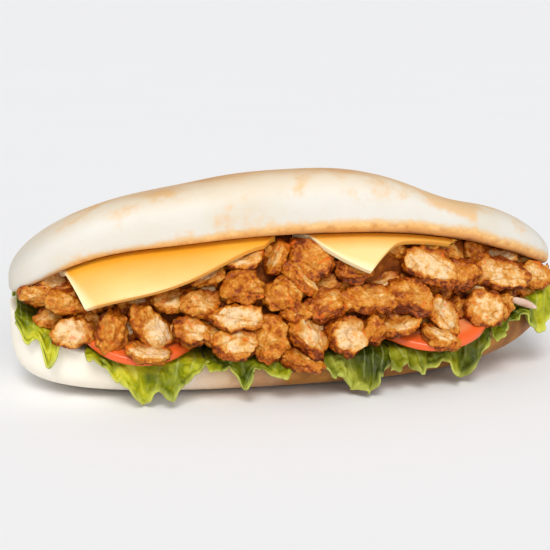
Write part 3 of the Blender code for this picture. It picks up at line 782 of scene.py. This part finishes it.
def onion_material():
    """Pale, with fine lines along the sliver."""
    made = Recipe("onion", 0.25, Subsurface_Weight=0.3, Subsurface_Scale=0.002)
    place = made.place()
    lines = made.noise(made.stretched(place, (0.3, 1.0, 1.0)), 600, 3)
    made.colour(made.ramp(lines, (0.3, srgb(184, 144, 118)), (0.7, srgb(220, 196, 178))))
    made.relief(lines, 0.0002, 0.4)
    return made.material


def floor_material():
    made = Recipe("pale_floor", 0.9, Specular_IOR_Level=0.1)
    place = made.place()
    made.colour(made.ramp(made.noise(place, 4, 2), (0.3, srgb(239, 239, 240)), (0.7, srgb(240, 240, 241))))
    return made.material


# Bread

def make_bread(name, point, cut_height, upside_down, material, slot_name):
    """A bread half: a ball whose rings are laid out on crust, lip and cut face."""
    deselect_all()
    bpy.ops.mesh.primitive_uv_sphere_add(segments=240, ring_count=128, radius=1, location=(0, 0, 0))
    piece = start_piece(name + "_crust")
    places = corners_of(piece)
    shaped = np.empty_like(places)
    marks = np.empty((len(places), len(CRUST_MARKS)))
    for index, (x, y, z) in enumerate(places):
        height = -z if upside_down else z
        tilt = math.acos(max(-1.0, min(1.0, height)))
        px, py, pz = point(math.atan2(y, x), tilt)
        shaped[index] = (px, py, pz)
        marks[index] = crust_marks(px, py, pz, tilt, cut_height(px, py))
    set_corners(piece, shaped)
    for number, mark_name in enumerate(CRUST_MARKS):
        mark(piece, mark_name, marks[:, number])
    if upside_down:
        face_outwards()
    finish_piece(piece, material, slot_name, name)
    return piece


# Lettuce

def between(points, x):
    """Height at x on a smooth line through these points."""
    if x <= points[0][0]:
        return points[0][1]
    for (x0, z0), (x1, z1) in zip(points, points[1:]):
        if x <= x1:
            step = (x - x0) / (x1 - x0)
            step = step * step * (3 - 2 * step)
            return z0 + (z1 - z0) * step
    return points[-1][1]


def leaf_base(x, y):
    return base_cut(x, y) + LEAF_LIFT + LEAF_END_LIFT * share(x) ** 8


def leaf_point(x, along, ruffles, edge, seed):
    """Point of a leaf, with its teeth and small curls."""
    inner = half_width(x) - 1.0 * MM
    phase = 2 * math.pi * ruffles * (x - edge[0][0] * MM) / ((edge[-1][0] - edge[0][0]) * MM)
    crumple = noise.noise(Vector((x * 230, along * 9, seed)))
    curl = noise.noise(Vector((x * 420, along * 5, seed + 7)))
    teeth = noise.noise(Vector((x * 340, seed * 3.1, 0.5)))
    if along < LEAF_FRONT_END:
        hang = 1 - along / LEAF_FRONT_END
        top = leaf_base(x, -inner)
        tip = between(edge, x / MM) * MM + (0.4 + 3.0 * teeth) * MM
        tip = max(tip, 0.8 * MM)
        out = 1.0 * MM + (LEAF_HANG - LEAF_RUFFLE) * hang ** 0.6
        out += LEAF_RUFFLE * hang * (1 + math.cos(phase))
        out += hang * (2.4 * crumple + 2.6 * hang * curl) * MM
        pleat = math.sin(x / MM * 0.78 + 3 * crumple + seed)
        out += hang ** 0.8 * 1.3 * MM * pleat
        out = max(0.8 * MM, out)
        z = top + (tip - top) * hang ** 1.25 + 1.2 * MM * crumple * math.sin(math.pi * hang)
        return x + hang * 1.2 * MM * curl, -inner - out * min(1.0, hang * 6), max(z, 0.6 * MM), hang
    if along > LEAF_BACK_START:
        hang = (along - LEAF_BACK_START) / (1 - LEAF_BACK_START)
        top = leaf_base(x, inner)
        lobe = noise.noise(Vector((x * 110, seed * 2.3, 4.5)))
        tip = top - (LEAF_BACK_DROP + 2 * math.sin(phase * 1.7 + x * 90) + 7.0 * lobe + 0.6 * teeth) * MM
        out = 1.0 * MM + (LEAF_HANG - 1.5 * MM) * hang ** 0.7
        out += LEAF_RUFFLE * hang * (1 + math.sin(phase))
        out += hang * (1.2 * crumple + 1.4 * hang * curl) * MM
        return x + hang * MM * curl, inner + out * min(1.0, hang * 6), top + (tip - top) * hang ** 1.3, hang
    middle = (along - LEAF_FRONT_END) / (LEAF_BACK_START - LEAF_FRONT_END)
    y = -inner + 2 * inner * middle
    ripple = 0.35 * MM * math.sin(phase) * math.sin(math.pi * middle)
    return x, y, leaf_base(x, y) + ripple, 0.0


def make_leaf(number, name, left, right, ruffles, edge, material):
    """A leaf from a grid that runs from the front edge under the filling to the back edge."""
    columns, rows = LEAF_GRID
    deselect_all()
    bpy.ops.mesh.primitive_grid_add(x_subdivisions=columns, y_subdivisions=rows, size=1, location=(0, 0, 0))
    piece = start_piece(name + "_curled")
    places = corners_of(piece)
    shaped = np.empty_like(places)
    edges = np.empty(len(places))
    ribs = np.empty(len(places))
    leaf_shade = np.empty(len(places))
    for index, (u, v, _) in enumerate(places):
        x = (left + (right - left) * (u + 0.5)) * MM
        px, py, pz, hang = leaf_point(x, v + 0.5, ruffles, edge, number * 11.3)
        beside = max(0.0, 2 * abs(u) - 0.8) / 0.2 * min(1.0, hang * 4)
        px += math.copysign(1.2 * MM * beside, u)
        py += math.copysign(0.9 * MM * beside, u) * math.copysign(1, -py)
        shaped[index] = (px, py, pz)
        side = 1 - 2 * min(u + 0.5, 0.5 - u)
        edges[index] = max(hang, side ** 6 * 0.9)
        branch = abs(math.sin(u * 7 * math.pi + hang * 2.2 * math.copysign(1, u)))
        rib_share = RIB_SHARE if py < 0 else RIB_BACK_SHARE
        ribs[index] = max(0.0, 1 - branch * 3.5) * (1 - hang) * rib_share
        # Painted shade: each leaf's share, with some noise.
        shade = noise.noise(Vector((px * 60, pz * 60, number)))
        leaf_shade[index] = clamped(LEAF_SHADE[number] + 0.6 * shade)
    set_corners(piece, shaped)
    mark(piece, "edge", edges)
    mark(piece, "rib", ribs)
    mark(piece, "leaf_shade", leaf_shade)
    modify(piece, "SOLIDIFY", thickness=LEAF_THICKNESS, offset=0.0)
    face_outwards()
    finish_piece(piece, material, "lettuce", name)
    return piece


# Tomato

def make_tomato(name, centre_x, centre_y, radius, material):
    """A slice from a ball: its rings are spread to a disc with a softly rounded rim."""
    deselect_all()
    bpy.ops.mesh.primitive_uv_sphere_add(segments=96, ring_count=40, radius=1, location=(0, 0, 0))
    piece = start_piece(name + "_cut")
    places = corners_of(piece)
    shaped = np.empty_like(places)
    skin = np.empty(len(places))
    for index, (u, v, w) in enumerate(places):
        ring = math.hypot(u, v)
        spread = ring ** 0.5 / max(ring, 1e-6)
        x = (centre_x + radius * u * spread) * MM
        y = (centre_y + radius * v * spread) * MM
        upright = math.copysign(abs(w) ** 0.4, w)
        past_rim = max(0.0, abs(y) - half_width(x))
        low = base_cut(x, y) + TOMATO_LIFT - TOMATO_DROOP * past_rim
        shaped[index] = (x, y, low + TOMATO_THICKNESS * (upright + 1) / 2)
        skin[index] = ring ** 0.5
    set_corners(piece, shaped)
    mark(piece, "skin", skin)
    finish_piece(piece, material, "tomato", name)
    return piece


# Cheese

def flap_curve():
    """Length, reach outwards and fall of the hanging part, as three matching rows."""
    lengths = np.linspace(0, FLAP_LENGTH * 1.4, 200)
    slopes = np.radians(FLAP_FIRST_SLOPE + (FLAP_LAST_SLOPE - FLAP_FIRST_SLOPE) * lengths / FLAP_LENGTH)
    step = lengths[1]
    out = np.concatenate(([0], np.cumsum(np.cos(slopes[:-1]) * step)))
    down = np.concatenate(([0], np.cumsum(np.sin(slopes[:-1]) * step)))
    return lengths, out, down


FLAP = flap_curve()


def cheese_fold(along):
    """Depth and height of the line over which the cheese folds."""
    y = -(half_width(along) * (1 - LIP_INSET) - CHEESE_FOLD_INSET)
    return y, lid_cut(along, y) - CHEESE_GAP


def cheese_point(along, hanging):
    fold_y, fold_z = cheese_fold(along)
    if hanging <= 0:
        y = fold_y - hanging
        return along, y, lid_cut(along, y) - CHEESE_GAP
    out = np.interp(hanging, FLAP[0], FLAP[1])
    down = np.interp(hanging, FLAP[0], FLAP[2])
    return along, fold_y - out, fold_z - down


def strip_pull(along, hanging, back, strip_end):
    """How far the front edge is drawn forward to show as a narrow strip under the lid."""
    short = STRIP_HANG - hanging
    missing = (short + math.hypot(short, STRIP_BLEND)) / 2
    if along > strip_end:
        missing *= max(0.0, 1 - (along - strip_end) / STRIP_FADE)
    return missing * math.exp(-(back / STRIP_DEPTH) ** 2)


def make_cheese(name, corner_along, corner_hang, turn, side, depth, front_sag, side_sag, strip_end,
                fade, material):
    """A slice from a grid: it lies under the lid's cut and hangs out over the fold at the front."""
    deselect_all()
    bpy.ops.mesh.primitive_grid_add(x_subdivisions=110, y_subdivisions=80, size=1, location=(0, 0, 0))
    piece = start_piece(name + "_soft")
    angle = math.radians(turn)
    places = corners_of(piece)
    shaped = np.empty_like(places)
    painted_lid_shade = np.empty(len(places))
    front_rim_shade = np.empty(len(places))
    side_rim_highlight = np.empty(len(places))
    for index, (u, v, _) in enumerate(places):
        right = (u + 0.5) * side
        back = (v + 0.5) * depth
        along = corner_along + right * math.cos(angle) - back * math.sin(angle)
        hanging = corner_hang - right * math.sin(angle) - back * math.cos(angle)
        hanging += front_sag * math.sin(math.pi * right / side) * (0.5 - v)
        hanging += side_sag * math.sin(math.pi * back / depth) * (0.5 - u)
        if along < strip_end + STRIP_FADE:
            hanging += strip_pull(along, hanging, back, strip_end)
        shaped[index] = cheese_point(along * MM, hanging * MM)
        # Painted shade towards the lid.
        painted_lid_shade[index] = clamped(1.15 - hanging / fade)
        # Painted shade along the front edge.
        front_rim_shade[index] = 0.7 * max(0.0, 1 - back / 0.9)
        # Painted highlight along the side edge.
        side_rim_highlight[index] = 0.8 * max(0.0, 1 - right / max(1.5, 5.5 - 0.2 * back))
    set_corners(piece, shaped)
    mark(piece, "painted_lid_shade", painted_lid_shade)
    mark(piece, "front_rim_shade", front_rim_shade)
    mark(piece, "side_rim_highlight", side_rim_highlight)
    face_outwards()
    if sum(face.normal.z for face in piece.data.polygons) < 0:
        piece.data.flip_normals()
    modify(piece, "SOLIDIFY", thickness=CHEESE_THICKNESS, offset=-1.0)
    modify(piece, "BEVEL", width=0.5 * MM, segments=3, limit_method="ANGLE")
    finish_piece(piece, material, "cheese", name)
    return piece


# Chicken

def heap_front(x, z):
    return -(half_width(x) - HEAP_INSET) - (lid_front_edge(x) - z) * HEAP_FRONT_SLOPE


def heap_floor(x, y):
    return base_cut(x, y) + TOMATO_LIFT


def heap_ceiling(x, y):
    return lid_cut(x, y) + 0.3 * MM


def front_pieces():
    """The pieces that the photograph shows: centre, size, slope, kind and seed."""
    for index, (x, z, length, height, slope, shape, forward) in enumerate(FRONT_PIECES):
        x *= MM
        z *= MM
        y = heap_front(x, z) + (2 - forward) * MM
        size = (length * MM, PIECE_DEPTH, height * MM)
        yield (x, y, z), size, slope, shape, index + 1


def back_pieces():
    """A row of like pieces along the hidden side."""
    for index in range(BACK_PIECES):
        x = BACK_REACH * (2 * index / (BACK_PIECES - 1) - 1) + 2.5 * math.sin(index * 3.7) * MM
        y = half_width(x) - (5 + 2 * (index % 2)) * MM
        low = heap_floor(x, y)
        high = heap_ceiling(x, y)
        z = low + (high - low) * (0.35 + 0.3 * (index % 2))
        slope = 35 * math.sin(index * 2.4)
        shape = ("lump", "cut", "crust")[index % 3]
        length, depth, height = BACK_PIECE_SIZE
        length *= 1 + 0.22 * math.sin(index * 1.9)
        yield (x, y, z), (length, depth, height), slope, shape, 60 + index


def waves(points, length, seed, count=28):
    """Smooth uneven relief with this wave length, as a sum of sine waves in seeded directions."""
    draw = np.random.default_rng(seed)
    directions = draw.normal(size=(count, 3))
    turns = 2 * math.pi / length * draw.uniform(0.7, 1.35, count)
    directions *= (turns / np.linalg.norm(directions, axis=1))[:, None]
    phases = draw.uniform(0, 2 * math.pi, count)
    return np.sin(points @ directions.T + phases).sum(axis=1) / math.sqrt(count / 2)


def shape_piece(ball, size, slope, shape, seed):
    """Places, browning and painted shade of one chicken piece: a lump with a cut side, crumbs and fibres.
    """
    draw = np.random.default_rng(seed)
    shift = Vector((seed * 7.31, seed * 3.17, seed * 1.73))
    bump = np.array([
        0.20 * noise.noise(Vector(co) * 1.1 + shift) + 0.13 * noise.noise(Vector(co) * 2.4 + shift)
        for co in ball
    ])
    body = ball * (1 + bump)[:, None]
    for _ in range(3):
        facing = draw.normal(size=3)
        facing /= np.linalg.norm(facing)
        beyond = np.clip(body @ facing - draw.uniform(0.60, 0.80), 0, None)
        body -= 0.5 * beyond[:, None] * facing
    body[:, 2] -= draw.uniform(-0.22, 0.22) * body[:, 0] ** 2
    towards, depth, pale, brown = CUTS[shape]
    towards = np.array(towards) + draw.normal(size=3) * 0.10
    towards /= np.linalg.norm(towards)
    beyond = np.clip(body @ towards - depth, 0, None)
    body -= 0.94 * beyond[:, None] * towards
    cut = np.clip(beyond / 0.34, 0, 1)
    body = 2 * (body - body.min(axis=0)) / (body.max(axis=0) - body.min(axis=0)) - 1
    body[:, 1] += 0.7 * np.clip(-0.68 - body[:, 1], 0, None)
    half = np.array(size) / 2
    normal = ball / half
    normal /= np.linalg.norm(normal, axis=1)[:, None]
    places = body * half * 1.02
    swell = waves(places, SWELL_LENGTH, seed + 100)
    folds = waves(places * np.array([0.40, 1.0, 1.0]), SWELL_LENGTH, seed + 150)
    creases = np.exp(-(folds / CREASE_WIDTH) ** 2)
    lumps = waves(places, LUMP_LENGTH, seed + 200)
    grit = waves(places, GRIT_LENGTH, seed + 250)
    fibres = waves(places * np.array([0.22, 1.0, 1.0]), FIBRE_LENGTH, seed + 300)
    rough = 1 - 0.6 * cut
    relief = SWELL_HEIGHT * swell + rough * (LUMP_HEIGHT * lumps + GRIT_HEIGHT * grit)
    relief += FIBRE_HEIGHT * cut * fibres - CREASE_DEPTH * creases
    angle = math.radians(slope)
    low = -(ball[:, 2] * math.cos(angle) + ball[:, 0] * math.sin(angle))
    browning_and_shading = brown + draw.uniform(-0.08, 0.08) - cut * pale * (brown - 0.14)
    # Painted shade: darker on the underside, in creases and on the sides turned away from the front, and
    # lighter on raised lumps.
    behind = np.clip((places[:, 1] + BACK_SHADE_START) / BACK_SHADE_SPAN, 0, 1)
    browning_and_shading = browning_and_shading + 0.24 * np.clip(low, 0, 1) - 0.05 * lumps * rough
    browning_and_shading = browning_and_shading + 0.12 * creases + 0.34 * behind
    # Painted shade in pits, in creases and on the sides turned away from the front.
    painted_gap_shade = 0.35 * np.clip(-lumps - 0.8, 0, 1) * rough + 0.22 * creases + 0.55 * behind
    return places + normal * (relief * MM)[:, None], browning_and_shading, np.clip(painted_gap_shade, 0, 1)


def cover_of(piece):
    """Search tree of a slice of cheese, to keep the chicken under it."""
    corners = [vertex.co for vertex in piece.data.vertices]
    return BVHTree.FromPolygons(corners, [face.vertices for face in piece.data.polygons])


def limit_under(covers, x, y):
    """Height of the underside of the cheese over a place, or None where there is none."""
    lowest = None
    for cover in covers:
        hit = cover.ray_cast(Vector((x, y, -0.01)), Vector((0, 0, 1)))[0]
        if hit is not None:
            lowest = hit.z if lowest is None else min(lowest, hit.z)
    return lowest


def place_piece(places, centre, slope, covers):
    """Turns the piece in the plane of the open front, moves it and keeps it under lid and cheese."""
    angle = math.radians(slope)
    turned = places.copy()
    turned[:, 0] = places[:, 0] * math.cos(angle) - places[:, 2] * math.sin(angle)
    turned[:, 2] = places[:, 0] * math.sin(angle) + places[:, 2] * math.cos(angle)
    turned += np.array(centre)
    for index, (x, y, z) in enumerate(turned):
        limit = limit_under(covers, x, y) if y < -CHEESE_FRONT and z > 0.03 else None
        if limit is not None and z > limit - PIECE_GAP:
            turned[index, 2] = limit - PIECE_GAP
        elif abs(y) < half_width(x) * 0.97 and z > lid_cut(x, y) - PIECE_GAP:
            turned[index, 2] = lid_cut(x, y) - PIECE_GAP
    return turned


def make_chicken_mesh(name, pieces, detail, covers, material):
    """Copies of one ball, each shaped as its own piece, joined as one mesh."""
    deselect_all()
    bpy.ops.mesh.primitive_ico_sphere_add(subdivisions=detail, radius=1, location=(0, 0, 0))
    pattern = start_piece("chicken_pattern")
    ball = corners_of(pattern)
    copies = []
    for centre, size, slope, shape, seed in pieces:
        places, browning_and_shading, painted_gap_shade = shape_piece(ball, size, slope, shape, seed)
        # Painted light: the pieces at the left end are made paler.
        if centre[0] < PALE_END:
            browning_and_shading = browning_and_shading - PALE_END_SHARE
        if centre[1] > 0:
            places[:, :2] *= -1
        copy = pattern.copy()
        copy.data = pattern.data.copy()
        bpy.context.scene.collection.objects.link(copy)
        mark(copy, "browning_and_shading", browning_and_shading)
        mark(copy, "painted_gap_shade", painted_gap_shade)
        mark_vector(copy, "local", places + seed * 0.05)
        set_corners(copy, place_piece(places, centre, slope, covers))
        copies.append(copy)
    bpy.data.objects.remove(pattern)
    deselect_all()
    for copy in copies:
        copy.select_set(True)
    bpy.context.view_layer.objects.active = copies[0]
    bpy.ops.object.join()
    piece = start_piece(name)
    finish_piece(piece, material, "chicken", "chicken_filling")
    return piece


def inner_pieces():
    """Pieces of a second layer, behind those that show, so that no gap looks empty."""
    draw = np.random.default_rng(41)
    for row in range(INNER_ROWS):
        for column in range(INNER_COLUMNS):
            x = (INNER_LEFT + INNER_STEP * column + 6 * (row % 2)) * MM
            low = heap_floor(x, -half_width(x) * 0.8)
            high = heap_ceiling(x, -half_width(x) * 0.8)
            if high - low < 9 * MM and row != 1:
                continue
            z = low + (high - low) * (0.18 + 0.32 * row) + draw.uniform(-1, 1) * MM
            y = heap_front(x, z) + INNER_BEHIND
            size = (draw.uniform(15, 20) * MM, 12 * MM, draw.uniform(10, 13) * MM)
            slope = draw.uniform(-50, 50)
            shape = ("lump", "crust", "cut")[(row + column) % 3]
            yield (x, y, z), size, slope, shape, 120 + row * 20 + column


def make_core(covers, material):
    """The mass behind the pieces, from base to lid, so that no light falls through the heap."""
    deselect_all()
    bpy.ops.mesh.primitive_uv_sphere_add(segments=96, ring_count=120, radius=1, location=(0, 0, 0))
    piece = start_piece("chicken_core")
    places = corners_of(piece)
    shaped = np.empty_like(places)
    for index, (u, v, w) in enumerate(places):
        u, w = w, -u
        x = HEAP_HALF_LENGTH * u
        ring = math.hypot(v, w)
        full = (1 - min(1.0, abs(u)) ** CORE_BLUNTNESS) ** (1 / CORE_BLUNTNESS)
        tall = (1 - min(1.0, abs(u)) ** 24) ** (1 / 24)
        side = math.copysign(abs(v / max(ring, 1e-6)) ** 0.5, v) * full
        height = math.copysign(abs(w / max(ring, 1e-6)) ** 0.25, w) * tall
        upward = (height + 1) / 2
        back = half_width(x) - CORE_BACK_GAP
        low_mid = heap_floor(x, 0)
        z_guess = low_mid + (heap_ceiling(x, 0) - low_mid) * upward
        front = heap_front(x, z_guess) + CORE_BEHIND
        bumps = CORE_BUMPS * noise.noise(Vector((x * 160, z_guess * 160, v * 3)))
        y = front + (back - front) * (side + 1) / 2 + bumps
        low = heap_floor(x, y)
        high = max(heap_ceiling(x, y) + CORE_HEADROOM, low + 1 * MM)
        z = low + (high - low) * upward
        limit = limit_under(covers, x, y)
        if limit is not None:
            z = min(z, limit - 0.3 * MM)
        shaped[index] = (x, y, z)
    set_corners(piece, shaped)
    face_outwards()
    finish_piece(piece, material, "chicken", "chicken_filling")
    return piece


def make_chicken(covers, material):
    front = list(front_pieces())
    for start in range(0, len(front), PIECES_IN_A_MESH):
        name = f"chicken_pieces_{start // PIECES_IN_A_MESH + 1}"
        make_chicken_mesh(name, front[start:start + PIECES_IN_A_MESH], 6, covers, material)
    inner = list(inner_pieces())
    for start in range(0, len(inner), INNER_IN_A_MESH):
        name = f"chicken_inner_{start // INNER_IN_A_MESH + 1}"
        make_chicken_mesh(name, inner[start:start + INNER_IN_A_MESH], 5, covers, material)
    make_chicken_mesh("chicken_back", list(back_pieces()), 5, covers, material)
    make_core(covers, core_material())


# Onion

def make_onion(material):
    """A bent sliver from a ball."""
    deselect_all()
    bpy.ops.mesh.primitive_uv_sphere_add(segments=40, ring_count=28, radius=1, location=(0, 0, 0))
    piece = start_piece("onion_sliver_cut")
    places = corners_of(piece)[:, [2, 1, 0]]
    angle = math.radians(ONION_SLOPE)
    x = places[:, 0] * ONION_LENGTH / 2
    z = (places[:, 2] - 0.25 * places[:, 0] ** 2) * ONION_HEIGHT / 2
    shaped = np.column_stack((
        x * math.cos(angle) + z * math.sin(angle),
        places[:, 1] * ONION_DEPTH / 2,
        -x * math.sin(angle) + z * math.cos(angle),
    ))
    set_corners(piece, shaped + np.array(ONION_PLACE))
    face_outwards()
    finish_piece(piece, material, "onion", "onion_sliver")


# Surroundings

def make_floor():
    """A flat, pale floor that reaches far behind the sandwich."""
    deselect_all()
    bpy.ops.mesh.primitive_plane_add(size=FLOOR_SIZE, location=(0, 0, 0))
    floor = start_piece("pale_floor")
    floor.data.materials.append(floor_material())


def add_sun(name, azimuth, elevation, spread, strength):
    """A soft light from far away: every part of the floor gets the same share of it."""
    data = bpy.data.lights.new(name, "SUN")
    data.energy = strength
    data.angle = math.radians(spread)
    data.color = SUN_TINT
    light = bpy.data.objects.new(name, data)
    bpy.context.scene.collection.objects.link(light)
    side = math.radians(azimuth)
    up = math.radians(elevation)
    towards = Vector((math.sin(side) * math.cos(up), -math.cos(side) * math.cos(up), math.sin(up)))
    light.rotation_euler = towards.to_track_quat("Z", "Y").to_euler()


def light_scene():
    world = bpy.data.worlds.new("soft_studio")
    world.use_nodes = True
    world.node_tree.nodes["Background"].inputs["Color"].default_value = SKY_TINT
    world.node_tree.nodes["Background"].inputs["Strength"].default_value = SKY_STRENGTH
    bpy.context.scene.world = world
    for sun in SUNS:
        add_sun(*sun)
    bpy.context.scene.view_settings.view_transform = "Standard"


def add_camera():
    azimuth = math.radians(CAMERA_AZIMUTH)
    elevation = math.radians(CAMERA_ELEVATION)
    back = Vector((
        math.sin(azimuth) * math.cos(elevation),
        -math.cos(azimuth) * math.cos(elevation),
        math.sin(elevation),
    ))
    data = bpy.data.cameras.new("camera")
    data.lens = CAMERA_LENS
    data.sensor_width = CAMERA_SENSOR
    camera = bpy.data.objects.new("camera", data)
    bpy.context.scene.collection.objects.link(camera)
    camera.location = Vector(CAMERA_TARGET) + back * CAMERA_DISTANCE
    camera.rotation_euler = (-back).to_track_quat("-Z", "Y").to_euler()
    bpy.context.scene.camera = camera


make_bread("bread_top", lid_point, lid_cut, False, lid_crust_material(), "lid_bread")
make_bread("bread_bottom", base_point, base_cut, True, base_crust_material(), "base_bread")
lettuce = lettuce_material()
for leaf_number, leaf in enumerate(LEAVES):
    make_leaf(leaf_number, *leaf, lettuce)
tomato = tomato_material()
for tomato_slice in TOMATOES:
    make_tomato(*tomato_slice, tomato)
cheese = cheese_material()
cheese_covers = []
for cheese_slice, cheese_fade in zip(CHEESE_SLICES, CHEESE_FADES):
    cheese_covers.append(cover_of(make_cheese(*cheese_slice, cheese_fade, cheese)))
make_chicken(cheese_covers, chicken_material())
make_onion(onion_material())
make_floor()
light_scene()
add_camera()
